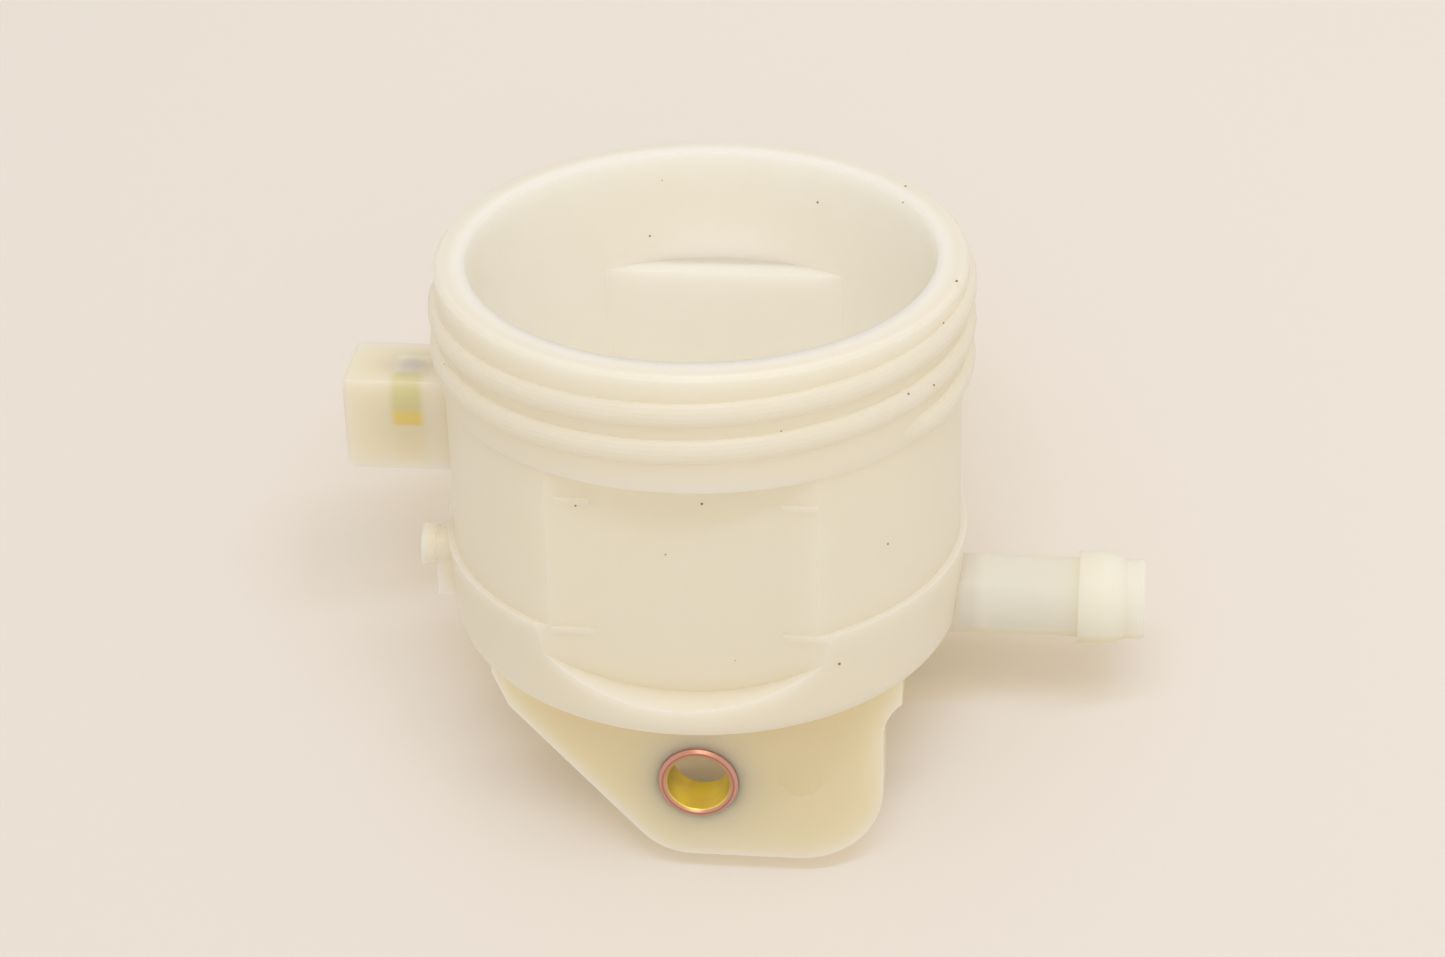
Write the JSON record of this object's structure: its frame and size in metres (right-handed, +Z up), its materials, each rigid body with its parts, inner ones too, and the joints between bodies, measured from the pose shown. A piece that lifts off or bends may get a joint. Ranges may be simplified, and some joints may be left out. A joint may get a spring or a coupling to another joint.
{
  "type": "reservoir tank",
  "caption": "Open translucent resin fluid reservoir with a threaded filler neck, a side hose nipple and a bracket plate with a plated steel collar.",
  "frame": {"origin": "centre of the bracket collar's bore, on the collar's seating face at the back of the plate", "axes": "+Z up along the filler neck, +X along the hose nipple, -Y to the front, out of the collar's bore"},
  "size_m": [0.0915, 0.0603, 0.0712],
  "materials": {
    "resin": "translucent cream moulded resin, slightly glossy",
    "collar_steel": "zinc-plated steel with a yellow and pink iridescent film",
    "insert_metal": "plated metal with a yellow and green film"
  },
  "bodies": {
    "root": {"tank_body": "resin", "bracket_collar": "collar_steel", "side_insert": "insert_metal"}
  },
  "joints": []
}
